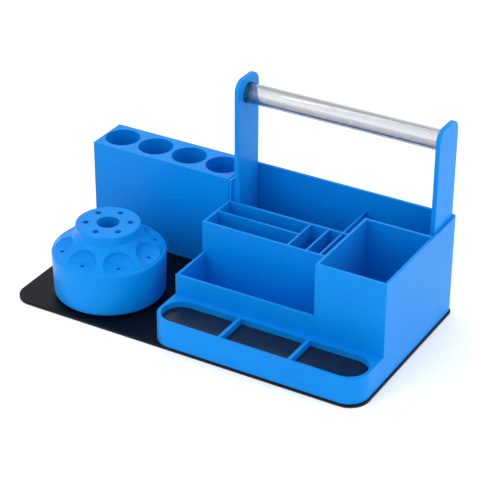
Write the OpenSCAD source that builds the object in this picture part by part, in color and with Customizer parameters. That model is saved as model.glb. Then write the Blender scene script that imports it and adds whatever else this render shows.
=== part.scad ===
// Hobby workstation organizer: a steel base plate that carries a stepped caddy with a
// carrying handle, a block with four tube wells and a turning driver turret.
// The outlines are laid out from the plate's front left corner; the module on_plate()
// moves them so that the origin is the centre of the plate's underside.

/* [Base] */
// Length of the base plate
plate_l = 300; // [290:1:310]
// Depth of the base plate
plate_d = 156; // [156:1:164]
// Radius of the base plate's front corners
plate_r = 16; // [8:1:20]
// Radius of the base plate's back corners
plate_back_r = 4; // [3.5:0.5:6]
// Thickness of the anti-slip mat under the plate
mat_t = 0.9; // [0.5:0.1:1.5]
// Thickness of the steel base plate
steel_t = 1.6; // [1:0.1:2.5]

/* [Caddy] */
// Left side of the caddy
caddy_x0 = 125.4; // [125.4:0.1:127]
// Right side of the caddy
caddy_x1 = 299; // [298:0.5:299.5]
// Front of the caddy
caddy_y0 = 0.6; // [0.5:0.1:2]
// Back of the caddy
caddy_y1 = 155.4; // [155:0.1:156]
// Depth of one step of the caddy
step_d = 38.8; // [38:0.1:39.2]
// Height of the tray step
tray_z = 24; // [22:0.5:26]
// Height of the front compartment
front_z = 40.4; // [38:0.1:44]
// Height of the cell step
cells_z = 67; // [64:0.5:70]
// Height of the tall box, the rear compartment and the tube block
tall_z = 84.2; // [82:0.1:88]
// Left side of the tall box
tall_x = 242.4; // [240:0.1:245]
// Wall thickness of the caddy
wall = 2.2; // [1.8:0.1:2.4]
// Thickness of the thin partitions
partition = 1.7; // [1.4:0.1:2]
// Middle of the partition behind the long cells
cell_x = 198; // [190:0.5:200]
// Pitch of the narrow cells
cell_pitch = 15.5; // [14:0.1:16]
// Middle of the partition that runs on into the rear compartment
slot_x = 225; // [223:0.5:228]
// Corner radius at the back of the caddy
back_r = 3.4; // [2:0.1:4]

/* [Tray] */
// Clear depth of the tray's opening
tray_d = 29.6; // [28:0.1:30]
// Margin between the tray's opening and the caddy's sides
tray_rim = 2.5; // [2:0.1:3]
// Depth of the liners' top below the tray's rim
tray_sink = 4.7; // [4:0.1:6]
// Thickness of a tray liner
liner_t = 1; // [0.6:0.1:1.5]
// Width of a bar between two tray pockets
bar_w = 2.8; // [2.4:0.1:3.5]

/* [Handle] */
// Thickness of an upright
upright_t = 3.8; // [3.4:0.1:4]
// Front edge of the uprights
upright_y0 = 121; // [120.5:0.1:122]
// Back edge of the uprights
upright_y1 = 152.1; // [151:0.1:152.2]
// Height of the uprights' top
upright_z = 165.4; // [160:0.1:175]
// Radius of the uprights' top corners
upright_r = 9.5; // [6:0.5:12]
// Height of the grip rod's axis
rod_z = 151.6; // [148:0.1:153]
// Diameter of the grip rod
rod_dia = 16; // [14:0.5:17]
// Wall thickness of the grip rod, which is a tube
rod_wall = 2.2; // [1.5:0.1:4]
// Depth of the rod's blind sockets
socket_d = 2.4; // [1.5:0.1:2.6]

/* [Tube block] */
// Left side of the tube block
block_x0 = 0; // [0:0.1:0.5]
// Right side of the tube block
block_x1 = 124.4; // [123:0.1:124.6]
// Front of the tube block
block_y0 = 118; // [117:0.1:119]
// Back of the tube block
block_y1 = 155.4; // [155:0.1:156]
// Diameter of a tube well
well_dia = 28; // [26:0.5:28.5]
// Thickness of the tube block's bottom cover
cover_t = 3.5; // [3:0.5:5]
// How far the tube block lifts off its place
block_travel = 95; // [90:1:120]

/* [Turret] */
// Middle of the turret from the plate's left edge
turret_x = 59.6; // [58:0.1:62]
// Middle of the turret from the plate's front edge
turret_y = 48.2; // [46:0.1:50]
// Radius of the turret at its rim
rim_r = 44; // [42:0.5:45]
// Radius of the turret at its foot
foot_r = 43; // [41:0.5:44]
// Radius of the neck
neck_r = 25; // [24:0.5:26]
// Height of the rim
rim_z = 40; // [38:0.5:42]
// Height where the shoulder meets the neck
shoulder_z = 54.5; // [53:0.5:55]
// Height of the turret's top
top_z = 61.8; // [60:0.1:64]
// Radius of the centre well
centre_r = 8.8; // [8:0.1:9]
// Radius of the inner ring of driver holes
inner_ring_r = 16.9; // [16:0.1:17.5]
// Diameter of an inner driver hole
inner_hole_dia = 4.8; // [4:0.1:5]
// Radius of the outer ring of bit holes
outer_ring_r = 36; // [35:0.5:37]
// Diameter of an outer bit hole
outer_hole_dia = 3; // [3:0.1:4]
// Radius of a scoop in the shoulder
scoop_r = 13.2; // [12:0.2:13.4]
// Radius of the round corner at a scoop's floor
scoop_round = 6; // [4:0.5:8]
// Outward lean of a scoop
scoop_lean = 10; // [5:1:12]

/* [Hidden] */
$fn = 96;
EPS = 0.01;
plate_z = mat_t + steel_t;
floor_t = 3;
floor_z = plate_z + floor_t;
INNER_HOLES = 6;
OUTER_HOLES = 8;
WELLS = 4;

// Lines between the steps, front to back
front_y = caddy_y0 + step_d - 0.9;
cells_y = front_y + step_d;
rear_y = cells_y + step_d + 0.7;
long_part_y = 97.7;
cell_parts = [cell_x, cell_x + cell_pitch, slot_x];

// Tray
tray_x0 = caddy_x0 + tray_rim;
tray_x1 = caddy_x1 - tray_rim;
tray_y0 = caddy_y0 + 2.4;
tray_r = tray_d / 2;
tray_floor_z = tray_z - tray_sink - liner_t;
tray_bars = [184.3, 241.8];
liner_gap = 0.15;
pocket_roof_z = tray_floor_z - 2.2;

// Handle: the uprights stand inside the side walls, between short ribs
upright_gap = 0.1;
upright_lx = caddy_x0 + wall + upright_gap;
upright_rx = caddy_x1 - wall - upright_gap - upright_t;
rib_reach = 6;
rib_w = 2;
rod_y = (upright_y0 + upright_y1) / 2;
rod_x0 = upright_lx + upright_t - socket_d + 0.1;
rod_x1 = upright_rx + socket_d - 0.1;

// Tube block
block_l = block_x1 - block_x0;
well_pitch = block_l / WELLS;
well_y = (block_y0 + block_y1) / 2;
block_cover_z = plate_z + 0.3;
block_bottom_z = block_cover_z + cover_t;

// Turret stack, from the plate upwards
disc_r = 37;
disc_t = 2;
spindle_r = 4;
spindle_top_z = 24;
spindle_head_r = 5.6;
spindle_head_t = 2;
washer_r = 8;
washer_t = 1.4;
washer_z = plate_z + disc_t;
bush_r = 6.5;
bush_clear = 0.05;
bush_z0 = washer_z + washer_t + 0.3;
bush_z1 = spindle_top_z - 0.3;
hub_r = 11;
shell_z = plate_z + 1.1;
cavity_r = 39.5;
cavity_roof_z = 33;
ring_hole_z = 37;
turret_cover_t = 1.6;
cover_z = washer_z + 0.8;
hub_z = cover_z + turret_cover_t;
centre_floor_z = 36;
scoop_out = 39;
scoop_z = rim_z + 0.9;

// Magnets
magnet_r = 5;
magnet_t = 1.6;

BLUE = "dodgerblue";
BLACK = "#202224";
DARK = "#0b1626";
CLEAR = "gainsboro";
STEEL = "silver";
BRASS = "goldenrod";

// ---------------------------------------------------------------- helpers

module on_plate() {
    translate([-plate_l / 2, -plate_d / 2, 0]) children();
}

module on_turret(z = 0) {
    on_plate() translate([turret_x, turret_y, z]) children();
}

// A box given by two corners
module block(x0, y0, z0, x1, y1, z1) {
    translate([x0, y0, z0]) cube([x1 - x0, y1 - y0, z1 - z0]);
}

// A rectangle with round corners, given by two corners
module round_rect(x0, y0, x1, y1, r) {
    translate([x0 + r, y0]) square([x1 - x0 - 2 * r, y1 - y0]);
    translate([x0, y0 + r]) square([x1 - x0, y1 - y0 - 2 * r]);
    for (x = [x0 + r, x1 - r]) {
        for (y = [y0 + r, y1 - r]) {
            translate([x, y]) circle(r);
        }
    }
}

module slab(z0, z1) {
    translate([0, 0, z0]) linear_extrude(z1 - z0) children();
}

module ring_of(count, r) {
    for (i = [0:count - 1]) {
        rotate([0, 0, i * 360 / count]) translate([r, 0, 0]) children();
    }
}

// Places of the caddy's screws and of the magnets under the tray
function caddy_screw_places() = [
    [caddy_x0 + 20, 60], [caddy_x1 - 20, 60], [caddy_x0 + 20, 136], [caddy_x1 - 20, 136]
];
function tray_magnet_places() = [for (x = [156, 213, 269]) [x, tray_y0 + tray_r]];
function block_magnet_places() = [for (x = [block_l * 0.25, block_l * 0.75]) [x, well_y]];
function block_screw_places() = [
    for (x = [block_x0 + well_pitch, block_x1 - well_pitch])
        for (y = [block_y0 + 4, block_y1 - 4]) [x, y]
];

// ---------------------------------------------------------------- base

module base_outline() {
    round_rect(0, 0, plate_l, plate_d / 2, plate_r);
    round_rect(0, plate_r, plate_l, plate_d, plate_back_r);
}

module base_plate() {
    color(BLACK) on_plate() difference() {
        slab(mat_t, plate_z) base_outline();
        for (p = caddy_screw_places()) {
            translate([p[0], p[1], 0]) cylinder(d = 3.4, h = 2 * plate_z);
        }
        translate([turret_x, turret_y, 0]) {
            cylinder(d = 3.4, h = 2 * plate_z);
            ring_of(3, 24) cylinder(d = 3.4, h = 2 * plate_z);
        }
    }
}

module anti_slip_mat() {
    color(BLACK) on_plate() difference() {
        slab(0, mat_t) base_outline();
        for (p = caddy_screw_places()) {
            translate([p[0], p[1], -1]) cylinder(d = 7, h = 2 * plate_z);
        }
        translate([turret_x, turret_y, -1]) {
            cylinder(d = 7, h = 2 * plate_z);
            ring_of(3, 24) cylinder(d = 7, h = 2 * plate_z);
        }
    }
}

// ---------------------------------------------------------------- caddy

module caddy_outline() {
    round_rect(caddy_x0, caddy_y0, caddy_x1, cells_y, plate_r);
    round_rect(caddy_x0, front_y + plate_r, caddy_x1, caddy_y1, back_r);
}

module tray_opening() {
    difference() {
        round_rect(tray_x0, tray_y0, tray_x1, tray_y0 + tray_d, tray_r - EPS);
        for (x = tray_bars) {
            translate([x - bar_w / 2, tray_y0 - 1]) square([bar_w, tray_d + 2]);
        }
    }
}

module caddy_steps() {
    slab(plate_z, tray_z) caddy_outline();
    block(caddy_x0, front_y, plate_z, tall_x + wall, cells_y + wall, front_z);
    block(caddy_x0, cells_y, plate_z, tall_x + wall, rear_y, cells_z);
    block(tall_x, front_y, plate_z, caddy_x1, rear_y, tall_z);
    intersection() {
        slab(plate_z, tall_z) caddy_outline();
        block(0, rear_y - wall, 0, plate_l, plate_d + 5, tall_z);
    }
}

// Upright boxes that are cut out of the steps
module caddy_hollows() {
    top = tall_z + 5;
    x0 = caddy_x0 + wall;
    half = partition / 2;
    back = rear_y - wall;
    block(x0, front_y + wall, floor_z, tall_x, cells_y, top);
    block(x0, cells_y + wall, floor_z, cell_x - half, long_part_y - half, top);
    block(x0, long_part_y + half, floor_z, cell_x - half, back, top);
    block(cell_parts[0] + half, cells_y + wall, floor_z, cell_parts[1] - half, back, top);
    block(cell_parts[1] + half, cells_y + wall, floor_z, cell_parts[2] - half, back, top);
    block(cell_parts[2] + half, cells_y + wall, floor_z, tall_x, back, top);
    block(tall_x + wall, front_y + wall, floor_z, caddy_x1 - wall, back, top);
    block(x0, rear_y, floor_z, cell_parts[2] - half, caddy_y1 - wall, top);
    block(cell_parts[2] + half, rear_y, floor_z, caddy_x1 - wall, caddy_y1 - wall, top);
    block(x0, rear_y - EPS, cells_z, caddy_x1 - wall, caddy_y1 - wall, top);
    // Over the cells everything is open, back to the rear compartment
    block(caddy_x0 - 1, rear_y - wall - 1, cells_z, tall_x, rear_y, top);
}

module upright_ribs() {
    for (y = [upright_y0 - 0.1 - rib_w]) {
        block(caddy_x0 + 1, y, plate_z, caddy_x0 + wall + rib_reach, y + rib_w, tall_z - 2);
        block(caddy_x1 - wall - rib_reach, y, plate_z, caddy_x1 - 1, y + rib_w, tall_z - 2);
    }
}

module caddy_body() {
    color(BLUE) on_plate() difference() {
        union() {
            difference() {
                caddy_steps();
                caddy_hollows();
                slab(tray_floor_z, tray_z + 5) tray_opening();
                // The tray is hollow underneath
                slab(plate_z - 1, pocket_roof_z)
                    round_rect(tray_x0, tray_y0, tray_x1, front_y - 1, 13.5);
            }
            upright_ribs();
            for (p = tray_magnet_places()) {
                translate([p[0], p[1], pocket_roof_z - 2.4]) cylinder(r = magnet_r + 1.6, h = 3);
            }
        }
        for (p = tray_magnet_places()) {
            translate([p[0], p[1], pocket_roof_z - 10]) cylinder(r = magnet_r, h = 10);
        }
        for (p = caddy_screw_places()) {
            translate([p[0], p[1], 0]) cylinder(r = 1.25, h = plate_z + 2.6);
        }
    }
}

// A pan head screw that hangs head down from the mat into the part above it
module base_screw(grip) {
    cylinder(r = 2.8, h = mat_t - 0.1);
    cylinder(r = 1.24, h = plate_z + grip - 0.1);
}

module caddy_screws() {
    color(STEEL) on_plate() {
        for (p = caddy_screw_places()) {
            translate([p[0], p[1], 0.1]) base_screw(2.4);
        }
    }
}

module tray_liner(i) {
    edges = concat([tray_x0 - 1], tray_bars, [tray_x1 + 1]);
    color(DARK) on_plate() intersection() {
        slab(tray_floor_z, tray_floor_z + liner_t)
            round_rect(tray_x0 + liner_gap, tray_y0 + liner_gap, tray_x1 - liner_gap,
                tray_y0 + tray_d - liner_gap, tray_r - liner_gap - EPS);
        block(edges[i] + bar_w / 2 + liner_gap, 0, 0,
            edges[i + 1] - bar_w / 2 - liner_gap, front_y, tray_z);
    }
}

module tray_liner_left() {
    tray_liner(0);
}

module tray_liner_middle() {
    tray_liner(1);
}

module tray_liner_right() {
    tray_liner(2);
}

module tray_magnets() {
    color(STEEL) on_plate() {
        for (p = tray_magnet_places()) {
            translate([p[0], p[1], pocket_roof_z - magnet_t]) cylinder(r = magnet_r, h = magnet_t);
        }
    }
}

// ---------------------------------------------------------------- handle

// An upright's face: square at the foot, with two round corners at the top
module upright_face() {
    translate([upright_y0, floor_z]) square([upright_y1 - upright_y0, upright_z - upright_r - floor_z]);
    translate([upright_y0 + upright_r, floor_z])
        square([upright_y1 - upright_y0 - 2 * upright_r, upright_z - floor_z]);
    for (y = [upright_y0 + upright_r, upright_y1 - upright_r]) {
        translate([y, upright_z - upright_r]) circle(upright_r);
    }
}

module upright_at(x) {
    translate([x, 0, 0]) rotate([90, 0, 90]) linear_extrude(upright_t) upright_face();
}

module rod_solid(x0, x1, r) {
    translate([x0, rod_y, rod_z]) rotate([0, 90, 0]) cylinder(r = r, h = x1 - x0);
}

module upright_left() {
    color(BLUE) on_plate() difference() {
        upright_at(upright_lx);
        rod_solid(upright_lx + upright_t - socket_d, rod_x1, rod_dia / 2);
    }
}

module upright_right() {
    color(BLUE) on_plate() difference() {
        upright_at(upright_rx);
        rod_solid(rod_x0, upright_rx + socket_d, rod_dia / 2);
    }
}

module grip_rod() {
    color(CLEAR) on_plate() difference() {
        rod_solid(rod_x0, rod_x1, rod_dia / 2 - 0.03);
        rod_solid(rod_x0 - 1, rod_x1 + 1, rod_dia / 2 - rod_wall);
    }
}

// ---------------------------------------------------------------- tube block

module tube_block() {
    color(BLUE) on_plate() difference() {
        block(block_x0, block_y0, block_bottom_z, block_x1, block_y1, tall_z);
        for (i = [0:WELLS - 1]) {
            translate([block_x0 + (i + 0.5) * well_pitch, well_y, 0]) cylinder(d = well_dia, h = 2 * tall_z);
        }
        for (p = block_screw_places()) {
            translate([p[0], p[1], 0]) cylinder(r = 1.25, h = block_bottom_z + 7);
        }
    }
}

module tube_block_cover() {
    color(BLUE) on_plate() difference() {
        block(block_x0, block_y0, block_cover_z, block_x1, block_y1, block_bottom_z);
        for (p = block_screw_places()) {
            translate([p[0], p[1], 0]) cylinder(r = 1.25, h = 10);
            translate([p[0], p[1], 0]) cylinder(r = 2.4, h = block_cover_z + 1.2);
        }
        for (p = block_magnet_places()) {
            translate([p[0], p[1], 0]) cylinder(r = magnet_r, h = block_cover_z + magnet_t);
        }
    }
}

module tube_block_screws() {
    color(STEEL) on_plate() {
        for (p = block_screw_places()) {
            translate([p[0], p[1], block_cover_z + 0.1]) cylinder(r = 2.3, h = 1.1);
            translate([p[0], p[1], block_cover_z + 0.1]) cylinder(r = 1.24, h = 9);
        }
    }
}

module tube_block_magnets() {
    color(STEEL) on_plate() {
        for (p = block_magnet_places()) {
            translate([p[0], p[1], block_cover_z]) cylinder(r = magnet_r, h = magnet_t);
        }
    }
}

// ---------------------------------------------------------------- turret

module turret_disc() {
    color(BLACK) on_turret() difference() {
        translate([0, 0, plate_z]) cylinder(r = disc_r, h = disc_t);
        cylinder(r = spindle_r, h = 10);
        ring_of(3, 24) cylinder(r = 1.25, h = 10);
    }
}

module turret_disc_screws() {
    color(STEEL) on_turret() ring_of(3, 24) {
        translate([0, 0, 0.1]) base_screw(1.6);
    }
}

module turret_spindle() {
    color(STEEL) on_turret() difference() {
        union() {
            translate([0, 0, plate_z]) cylinder(r = spindle_r, h = spindle_top_z - plate_z + 1);
            translate([0, 0, spindle_top_z]) cylinder(r = spindle_head_r, h = spindle_head_t);
        }
        translate([0, 0, plate_z - 1]) cylinder(r = 1.25, h = 12);
    }
}

module turret_bush() {
    color(BRASS) on_turret(bush_z0) difference() {
        cylinder(r = bush_r, h = bush_z1 - bush_z0);
        translate([0, 0, -1]) cylinder(r = spindle_r + bush_clear, h = bush_z1 - bush_z0 + 2);
    }
}

// Half outline of the turret, turned around its axis
module turret_profile() {
    polygon([
        [0, shell_z], [foot_r - 2, shell_z], [foot_r, shell_z + 2], [rim_r, rim_z - 2],
        [rim_r - 0.6, rim_z - 0.6], [rim_r - 2, rim_z], [rim_r - 3.6, rim_z + 2.4],
        [neck_r + 11, shoulder_z - 8.8], [neck_r + 7, shoulder_z - 6.5],
        [neck_r + 2.6, shoulder_z - 3.9], [neck_r, shoulder_z],
        [neck_r, top_z - 0.8], [neck_r - 0.8, top_z], [0, top_z]
    ]);
}

// Half outline of the round cutter that makes a scoop
module scoop_profile() {
    square([scoop_r - scoop_round, 2 * scoop_round]);
    translate([0, scoop_round]) square([scoop_r, 3 * scoop_round]);
    intersection() {
        translate([scoop_r - scoop_round, scoop_round]) circle(scoop_round);
        square(2 * scoop_r);
    }
}

// One scoop for each outer hole, leaning outwards and clear of the neck
module shoulder_scoops() {
    difference() {
        ring_of(OUTER_HOLES, scoop_out) translate([0, 0, scoop_z])
            rotate([0, scoop_lean, 0]) rotate_extrude() scoop_profile();
        cylinder(r = neck_r + 0.02, h = 2 * top_z);
    }
}

module turret_shell() {
    color(BLUE) on_turret() difference() {
        rotate_extrude() turret_profile();
        shoulder_scoops();
        // Space inside, with the hub left standing
        difference() {
            translate([0, 0, shell_z - 1]) cylinder(r = cavity_r, h = cavity_roof_z - shell_z + 1);
            translate([0, 0, hub_z]) cylinder(r = hub_r, h = 60);
            ring_of(3, 30) translate([0, 0, hub_z]) cylinder(r = 3.2, h = 60);
        }
        translate([0, 0, shell_z - 1]) cylinder(r = bush_r, h = spindle_top_z + 3 - shell_z + 1);
        translate([0, 0, centre_floor_z]) cylinder(r = centre_r, h = 60);
        rotate([0, 0, 30]) ring_of(INNER_HOLES, inner_ring_r)
            translate([0, 0, ring_hole_z]) cylinder(d = inner_hole_dia, h = 40);
        ring_of(OUTER_HOLES, outer_ring_r)
            translate([0, 0, ring_hole_z - 1]) cylinder(d = outer_hole_dia, h = 40);
        ring_of(3, 30) cylinder(r = 1.25, h = cover_z + 8);
    }
}

module turret_cover() {
    color(BLUE) on_turret(cover_z) difference() {
        cylinder(r = cavity_r - 0.1, h = turret_cover_t);
        translate([0, 0, -1]) cylinder(r = washer_r + 0.6, h = 10);
        ring_of(3, 30) translate([0, 0, -1]) cylinder(r = 1.25, h = 10);
    }
}

module turret_cover_screws() {
    color(STEEL) on_turret() ring_of(3, 30) {
        translate([0, 0, cover_z - 0.4]) cylinder(r = 2.2, h = 0.4);
        translate([0, 0, cover_z - 0.4]) cylinder(r = 1.24, h = 7);
    }
}

module turret_washer() {
    color(STEEL) on_turret(washer_z) difference() {
        cylinder(r = washer_r, h = washer_t);
        translate([0, 0, -1]) cylinder(r = spindle_r + 0.1, h = 5);
    }
}

module turret_screw() {
    color(STEEL) on_turret(0.1) base_screw(8);
}

// ---------------------------------------------------------------- nodes

base_plate();
anti_slip_mat();
caddy_body();
caddy_screws();
tray_liner_left();
tray_liner_middle();
tray_liner_right();
tray_magnets();
upright_left();
upright_right();
grip_rod();
tube_block();
tube_block_cover();
tube_block_screws();
tube_block_magnets();
turret_disc();
turret_disc_screws();
turret_spindle();
turret_bush();
turret_shell();
turret_cover();
turret_cover_screws();
turret_washer();
turret_screw();
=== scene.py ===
# %% [markdown]
# # Looks for a hobby workstation organizer
# The solids of this desktop caddy come from a CAD part. This lesson gives them the look of
# the real thing: moulded blue plastic with soft edges, a black powder coated plate, a clear
# grip rod and dark tray floors. Each piece keeps the place that the CAD part gave it.

# %% Load the CAD frame
import math

import bpy
from mathutils import Matrix, Vector


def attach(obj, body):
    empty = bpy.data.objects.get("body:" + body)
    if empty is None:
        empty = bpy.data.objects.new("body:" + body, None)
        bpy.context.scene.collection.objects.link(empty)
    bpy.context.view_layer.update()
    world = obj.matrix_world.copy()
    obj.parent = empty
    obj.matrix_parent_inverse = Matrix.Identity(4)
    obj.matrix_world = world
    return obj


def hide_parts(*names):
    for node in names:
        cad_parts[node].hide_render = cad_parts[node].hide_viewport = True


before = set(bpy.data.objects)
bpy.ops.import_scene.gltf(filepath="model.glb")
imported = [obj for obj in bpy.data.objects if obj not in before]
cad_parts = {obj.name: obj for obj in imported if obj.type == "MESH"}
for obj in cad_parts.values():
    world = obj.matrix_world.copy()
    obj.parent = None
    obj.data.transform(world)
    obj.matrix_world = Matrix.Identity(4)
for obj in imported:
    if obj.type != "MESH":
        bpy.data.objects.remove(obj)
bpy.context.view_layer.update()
MM = 0.001

# %% [markdown]
# ## Working by hand, from a script
# An operator acts on everything that is selected. So one helper clears the selection and
# picks a single piece, and every later step starts from there.


# %% Select one piece
def pick(piece):
    bpy.ops.object.select_all(action="DESELECT")
    piece.select_set(True)
    bpy.context.view_layer.objects.active = piece
    return piece


# %% [markdown]
# ## Shader maths as plain sums
# A surface pattern is a number that changes over the surface. Wrapping the node's socket in
# a small class lets the sums be written as in arithmetic. One method makes every node.


# %% A pattern value and a finish
class Pattern:
    """A number that varies over a surface. Sums on it add Math nodes."""

    def __init__(self, finish, socket):
        self.finish = finish
        self.socket = socket

    def _sum(self, operation, first, second):
        made = self.finish.node("ShaderNodeMath", {"operation": operation}, {0: first, 1: second})
        return Pattern(self.finish, made.outputs[0])

    def __add__(self, other):
        return self._sum("ADD", self, other)

    def __sub__(self, other):
        return self._sum("SUBTRACT", self, other)

    def __rsub__(self, other):
        return self._sum("SUBTRACT", other, self)

    def __mul__(self, other):
        return self._sum("MULTIPLY", self, other)

    __radd__ = __add__
    __rmul__ = __mul__


class Finish:
    """One material. Constants go on the shader's sockets, patterns are linked to them."""

    def __init__(self, name, color, roughness, **constants):
        self.material = bpy.data.materials.new(name)
        self.material.use_nodes = True
        self.tree = self.material.node_tree
        self.shader = next(n for n in self.tree.nodes if n.type == "BSDF_PRINCIPLED")
        self.set("Base Color", (*color, 1.0))
        self.set("Roughness", roughness)
        for socket, value in constants.items():
            self.set(socket.replace("_", " "), value)
        self.place = self.node("ShaderNodeTexCoord").outputs["Object"]

    def node(self, kind, settings=None, sockets=None):
        made = self.tree.nodes.new(kind)
        for key, value in (settings or {}).items():
            if key == "stops":
                ramp = made.color_ramp
                ramp.elements[0].position, ramp.elements[0].color = value[0]
                ramp.elements[1].position, ramp.elements[1].color = value[-1]
                for position, color in value[1:-1]:
                    ramp.elements.new(position).color = color
            else:
                setattr(made, key, value)
        for key, value in (sockets or {}).items():
            self._feed(made.inputs[key], value)
        return made

    def _feed(self, socket, value):
        if isinstance(value, Pattern):
            value = value.socket
        if isinstance(value, bpy.types.NodeSocket):
            self.tree.links.new(value, socket)
        else:
            socket.default_value = value

    def set(self, socket, value):
        self._feed(self.shader.inputs[socket], value)

    def noise(self, scale, detail=2.0, roughness=0.5, stretch=None):
        place = self.place
        if stretch:
            place = self.node("ShaderNodeMapping", None, {"Vector": place, "Scale": stretch}).outputs[0]
        made = self.node(
            "ShaderNodeTexNoise",
            None,
            {"Vector": place, "Scale": scale, "Detail": detail, "Roughness": roughness},
        )
        return Pattern(self, made.outputs[0])

    def spots(self, pattern, low, high):
        """Maps a pattern so that values under low give 0 and values over high give 1."""
        made = self.node(
            "ShaderNodeMapRange", {"clamp": True}, {"Value": pattern, "From Min": low, "From Max": high}
        )
        return Pattern(self, made.outputs[0])

    def tint(self, mask, color, over=None):
        under = over if over is not None else tuple(self.shader.inputs["Base Color"].default_value)
        made = self.node("ShaderNodeMix", {"data_type": "RGBA"}, {0: mask, 6: under, 7: (*color, 1.0)})
        return made.outputs[2]

    def bump(self, height, strength, distance):
        made = self.node(
            "ShaderNodeBump", None, {"Height": height, "Strength": strength, "Distance": distance}
        )
        self.set("Normal", made.outputs[0])


# %% [markdown]
# ## Moulded blue plastic
# The caddy, the tube block, the turret and the uprights are moulded in one saturated blue
# plastic. Such a moulding is satin: it has a fine spark-eroded grain, and its gloss varies a
# little where the plastic flowed. The grain is a bump far finer than a millimetre, and the
# colour drifts by a few hundredths so that wide faces don't look painted flat.

# %% Blue plastic
BLUE = (0.0, 0.240, 0.74)
BLUE_DEEP = (0.0, 0.208, 0.68)
BLUE_PALE = (0.002, 0.268, 0.79)


def blue_plastic(name, grain=1.0):
    finish = Finish(name, BLUE, 0.38, IOR=1.5, Specular_IOR_Level=0.10)
    finish.set("Sheen Weight", 0.06)
    finish.set("Sheen Roughness", 0.35)
    cloud = finish.noise(14.0, 3.0)
    flow = finish.noise(60.0, 4.0, 0.6, (1.0, 1.0, 0.35))
    handled = finish.noise(38.0, 5.0, 0.62)
    grains = finish.noise(2600.0, 2.0)
    color = finish.tint(finish.spots(cloud, 0.42, 0.72) * 0.55, BLUE_DEEP)
    color = finish.tint(finish.spots(flow, 0.5, 0.8) * 0.30, BLUE_PALE, color)
    finish.set("Base Color", color)
    finish.set("Roughness", 0.30 + flow * 0.10 + finish.spots(handled, 0.5, 0.75) * 0.10)
    finish.bump(grains * 0.8 + flow * 0.6, 0.16 * grain, 0.00006)
    return finish.material


plastic = blue_plastic("moulded_blue_plastic")
turret_plastic = blue_plastic("turret_blue_plastic", 0.7)
print("blue plastic nodes", len(plastic.node_tree.nodes))

# %% [markdown]
# ## Powder coated plate and rubber mat
# The base plate is thin steel with a black powder coat. A powder coat has an orange-peel
# surface, and dust greys it a little in patches. The mat under it is plain matt rubber.

# %% Black plate and rubber
PLATE_BLACK = (0.0015, 0.0025, 0.007)
PLATE_DUST = (0.007, 0.008, 0.012)
RUBBER_GREY = (0.024, 0.024, 0.024)
RUBBER_SPECK = (0.05, 0.05, 0.05)


def powder_coat():
    finish = Finish("black_powder_coat", PLATE_BLACK, 0.42, IOR=1.5, Specular_IOR_Level=0.12)
    peel = finish.noise(900.0, 2.0)
    dust = finish.noise(55.0, 6.0, 0.65)
    finish.set("Base Color", finish.tint(finish.spots(dust, 0.48, 0.8) * 0.35, PLATE_DUST))
    finish.set("Roughness", 0.36 + dust * 0.16)
    finish.bump(peel, 0.35, 0.00008)
    return finish.material


def rubber():
    finish = Finish("matt_rubber", RUBBER_GREY, 0.8)
    ribs = finish.node(
        "ShaderNodeTexWave", {"wave_type": "BANDS"}, {"Vector": finish.place, "Scale": 160.0}
    )
    speck = finish.noise(700.0, 3.0)
    finish.set("Base Color", finish.tint(finish.spots(speck, 0.5, 0.8) * 0.4, RUBBER_SPECK))
    finish.set("Roughness", 0.72 + speck * 0.18)
    finish.bump(Pattern(finish, ribs.outputs[1]) * 0.5 + speck, 0.4, 0.0002)
    return finish.material


black_plate = powder_coat()
mat_rubber = rubber()

# %% [markdown]
# ## Tray floors
# The three tray recesses have dark, smooth floors that shine softly. Small screws are swept
# over them, so faint wipe marks break up the shine without colouring it.


# %% Dark tray floor
FLOOR_DARK = (0.004, 0.010, 0.028)
FLOOR_HAZE = (0.012, 0.018, 0.036)


def tray_floor():
    finish = Finish("dark_tray_floor", FLOOR_DARK, 0.24, IOR=1.5, Specular_IOR_Level=0.3)
    wipe = finish.noise(70.0, 5.0, 0.6, (0.25, 1.6, 1.0))
    haze = finish.noise(24.0, 3.0)
    finish.set("Base Color", finish.tint(finish.spots(haze, 0.42, 0.7) * 0.5, FLOOR_HAZE))
    finish.set("Roughness", 0.16 + wipe * 0.20)
    finish.bump(wipe, 0.05, 0.00005)
    return finish.material


liner_dark = tray_floor()

# %% [markdown]
# ## Clear grip rod
# The rod is a clear acrylic tube. It bends the light like glass but a little less, and it
# carries long white reflections. Its top and its underside are darkened with painted shade,
# bands that stand in for the dark edges of a clear tube. Faint drawing lines run along it.


# %% Clear acrylic
ACRYLIC_GREY = (0.74, 0.75, 0.77)
ACRYLIC_PALE = (0.80, 0.81, 0.82)
ACRYLIC_PAINTED_SHADE = (0.30, 0.31, 0.33)
corner_heights = [corner[2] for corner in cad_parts["grip_rod"].bound_box]
ROD_HEIGHT = (min(corner_heights) + max(corner_heights)) / 2
# Heights over or under the rod's axis, in metres, where the painted shade bands begin and are full
PAINTED_SHADE_UNDER_BAND = (0.0042, 0.0066)
PAINTED_SHADE_TOP_BAND = (0.0066, 0.0078)


def acrylic():
    finish = Finish("clear_acrylic", ACRYLIC_GREY, 0.04, IOR=1.49)
    finish.set("Transmission Weight", 1.0)
    lines = finish.noise(220.0, 3.0, 0.5, (0.02, 1.0, 1.0))
    axes = finish.node("ShaderNodeSeparateXYZ", None, {0: finish.place})
    height = Pattern(finish, axes.outputs[2]) - ROD_HEIGHT
    # Painted shade: the rod's colour darkens in a band under its axis and a band over it.
    under = finish.spots(0.0 - height, *PAINTED_SHADE_UNDER_BAND)
    above = finish.spots(height, *PAINTED_SHADE_TOP_BAND)
    color = finish.tint(lines * 0.5, ACRYLIC_PALE)
    finish.set("Base Color", finish.tint(under + above, ACRYLIC_PAINTED_SHADE, color))
    finish.set("Roughness", 0.03 + lines * 0.06)
    finish.bump(lines, 0.05, 0.0001)
    return finish.material


rod_clear = acrylic()


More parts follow.
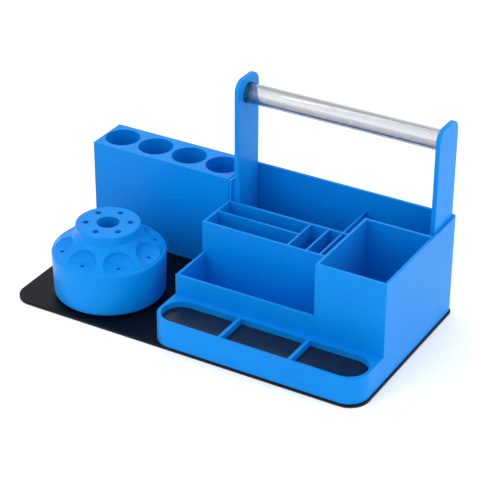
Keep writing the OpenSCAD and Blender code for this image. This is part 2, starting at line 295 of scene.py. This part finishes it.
# %% [markdown]
# ## Metals
# Screws, washers and the spindle are zinc plated steel, the bush is brass and the magnets
# are nickel plated. Turned metal has fine marks, so a tight noise moves its roughness.


# %% Metals
def metal(name, color, rough, mottle):
    finish = Finish(name, color, rough, Metallic=1.0)
    turned = finish.noise(1800.0, 3.0, 0.6, (1.0, 1.0, 6.0))
    patch = finish.noise(240.0, 3.0)
    finish.set("Base Color", finish.tint(finish.spots(patch, 0.45, 0.75) * 0.6, mottle))
    finish.set("Roughness", turned * 0.22 + (rough - 0.10))
    finish.bump(turned, 0.15, 0.00005)
    return finish.material


zinc = metal("zinc_plated_steel", (0.62, 0.63, 0.65), 0.32, (0.52, 0.53, 0.56))
brass = metal("turned_brass", (0.80, 0.58, 0.24), 0.28, (0.66, 0.46, 0.18))
nickel = metal("nickel_plating", (0.74, 0.73, 0.70), 0.20, (0.66, 0.65, 0.62))

# %% [markdown]
# ## Soft edges on the mouldings
# No moulded edge is sharp: each has a small radius that catches a thin line of light. The
# CAD mesh stays as it is, so a copy is merged, its flat regions are joined, and a bevel
# rounds its edges. The copy then stands for the CAD node, on the same body. The caddy body
# keeps its triangles: its wide faces have holes, and joining them spoils their shading.


# %% Round the edges of a copy
def soften(node, body, material, radius, segments=2, angle=32, join=True):
    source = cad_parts[node]
    mesh = source.data.copy()
    mesh.name = node + "_surface"
    piece = bpy.data.objects.new(node + "_surface", mesh)
    bpy.context.scene.collection.objects.link(piece)
    pick(piece)
    bpy.ops.object.mode_set(mode="EDIT")
    bpy.ops.mesh.select_all(action="SELECT")
    bpy.ops.mesh.customdata_custom_splitnormals_clear()
    bpy.ops.mesh.remove_doubles(threshold=0.000004)
    if join:
        bpy.ops.mesh.dissolve_limited(angle_limit=math.radians(0.6))
    bpy.ops.object.mode_set(mode="OBJECT")
    bevel = piece.modifiers.new("soft_edges", "BEVEL")
    bevel.width = radius * MM
    bevel.segments = segments
    bevel.limit_method = "ANGLE"
    bevel.angle_limit = math.radians(angle)
    bevel.miter_outer = "MITER_ARC"
    bevel.harden_normals = True
    bpy.ops.object.shade_smooth_by_angle(angle=math.radians(angle))
    mesh.materials.clear()
    mesh.materials.append(material)
    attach(piece, body)
    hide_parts(node)
    print(node, len(mesh.polygons), "faces after joining flat regions")
    return piece


soften("caddy_body", "base", plastic, 0.45, join=False)
soften("upright_left", "base", plastic, 0.6, 3)
soften("upright_right", "base", plastic, 0.6, 3)
soften("tube_block", "tube_rack", plastic, 0.45)
soften("tube_block_cover", "tube_rack", plastic, 0.3)
soften("turret_shell", "turret", turret_plastic, 0.5, 3, 20)
soften("base_plate", "base", black_plate, 0.35)
for name in ("tray_liner_left", "tray_liner_middle", "tray_liner_right"):
    soften(name, "base", liner_dark, 0.2)

# %% [markdown]
# ## Finishes for the CAD nodes that stay
# The other nodes already have their real shape, so they only take a finish.

# %% Finishes on CAD nodes
KEPT = {
    "anti_slip_mat": mat_rubber,
    "grip_rod": rod_clear,
    "caddy_screws": zinc,
    "tray_magnets": nickel,
    "tube_block_screws": zinc,
    "tube_block_magnets": nickel,
    "turret_disc": black_plate,
    "turret_disc_screws": zinc,
    "turret_spindle": zinc,
    "turret_bush": brass,
    "turret_cover": turret_plastic,
    "turret_cover_screws": zinc,
    "turret_washer": zinc,
    "turret_screw": zinc,
}
for name, material in KEPT.items():
    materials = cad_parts[name].data.materials
    if not materials:
        materials.append(material)
    for i in range(len(materials)):
        materials[i] = material
print(len(KEPT), "CAD nodes keep their shape")

# %% [markdown]
# ## Floor
# A product photograph is taken on a pale sweep: a floor that curves up into the backdrop.
# One plane is enough if its back edge is pulled up and the fold is rounded. The paper glows
# a little, so that the floor stays white and the shadow on it stays faint.

# %% Pale floor
FLOOR_SIDE = 8.0
BACKDROP_HEIGHT = 4.0
BACK_EDGE_Y = 3.9
PAPER_GLOW = 0.16
bpy.ops.object.select_all(action="DESELECT")
bpy.ops.mesh.primitive_plane_add(size=FLOOR_SIDE, location=(0, 0, 0))
floor = bpy.context.active_object
floor.name = "floor_sweep"
bpy.ops.object.mode_set(mode="EDIT")
bpy.ops.mesh.select_all(action="DESELECT")
bpy.ops.object.mode_set(mode="OBJECT")
for edge in floor.data.edges:
    edge.select = all(floor.data.vertices[v].co.y > BACK_EDGE_Y for v in edge.vertices)
bpy.ops.object.mode_set(mode="EDIT")
bpy.ops.mesh.extrude_region_move(TRANSFORM_OT_translate={"value": (0, 0, BACKDROP_HEIGHT)})
bpy.ops.object.mode_set(mode="OBJECT")
fold = floor.modifiers.new("fold", "BEVEL")
fold.width = 1.2
fold.segments = 10
paper = Finish("pale_paper", (0.93, 0.93, 0.935), 0.85)
fibre = paper.noise(40.0, 4.0)
paper.set("Base Color", paper.tint(fibre * 0.4, (0.91, 0.91, 0.92)))
paper.set("Emission Color", (1.0, 1.0, 1.0, 1.0))
paper.set("Emission Strength", PAPER_GLOW)
floor.data.materials.append(paper.material)

# %% [markdown]
# ## Light
# The photograph has soft light from above and the front left, and a wide white panel on the
# right that lays a pale sheen over the right-hand faces. Area lamps stand for them, and one
# thin strip overhead draws a long line on the grip rod. An even white room fills the rest.


# %% Soft lamps
LAMP_AIM = Vector((0, 0, 0.05))
LAMPS = {
    "overhead": ((-0.1, -0.2, 1.5), (1.6, 1.6), 2.4),
    "front_left": ((-0.9, -1.3, 0.9), (1.2, 1.2), 5.5),
    "right_panel": ((1.5, 0.1, 0.6), (1.6, 1.2), 5),
    "rod_strip": ((-0.35, 0.10, 1.1), (0.9, 0.03), 1.0),
}
ROOM_STRENGTH = 0.95


def soft_lamp(name, place, size, power):
    data = bpy.data.lights.new(name, "AREA")
    data.shape = "RECTANGLE"
    data.size, data.size_y = size
    data.energy = power
    lamp = bpy.data.objects.new(name, data)
    bpy.context.scene.collection.objects.link(lamp)
    lamp.location = place
    aim = LAMP_AIM - Vector(place)
    lamp.rotation_euler = aim.to_track_quat("-Z", "Y").to_euler()


for name, (place, size, power) in LAMPS.items():
    soft_lamp(name, place, size, power)
world = bpy.data.worlds.new("white_room")
world.use_nodes = True
world.node_tree.nodes["Background"].inputs[0].default_value = (1.0, 1.0, 1.0, 1.0)
world.node_tree.nodes["Background"].inputs[1].default_value = ROOM_STRENGTH
bpy.context.scene.world = world
bpy.context.scene.view_settings.view_transform = "Standard"

# %% [markdown]
# ## Camera
# The camera was solved from edges and circles of the photograph: a long lens, about 1.4 m
# away, turned 30 degrees to the right of the front and looking 30 degrees down.

# %% Camera of the photograph
YAW, PITCH, ROLL = (math.radians(a) for a in (29.764, 30.075, 0.346))
# Millimetres: the camera's shifts across its view, its distance and the point it looks at
SHIFT_RIGHT, SHIFT_UP, DISTANCE = 8.447, -14.734, 1391.61
AIM = Vector((0.0, 12.0, 60.0))
back = Vector((math.sin(YAW) * math.cos(PITCH), -math.cos(YAW) * math.cos(PITCH), math.sin(PITCH)))
level_right = (-back).cross(Vector((0, 0, 1))).normalized()
level_up = level_right.cross(-back)
right = level_right * math.cos(ROLL) + level_up * math.sin(ROLL)
up = level_up * math.cos(ROLL) - level_right * math.sin(ROLL)
lens = bpy.data.cameras.new("photo_camera")
lens.sensor_width = 36.0
lens.lens = 132.70
camera = bpy.data.objects.new("photo_camera", lens)
bpy.context.scene.collection.objects.link(camera)
turn = Matrix((right, up, back)).transposed().to_4x4()
eye = AIM + right * SHIFT_RIGHT + up * SHIFT_UP + back * DISTANCE
camera.matrix_world = Matrix.Translation(eye * MM) @ turn
bpy.context.scene.camera = camera
print("camera at", [round(v, 3) for v in camera.location])
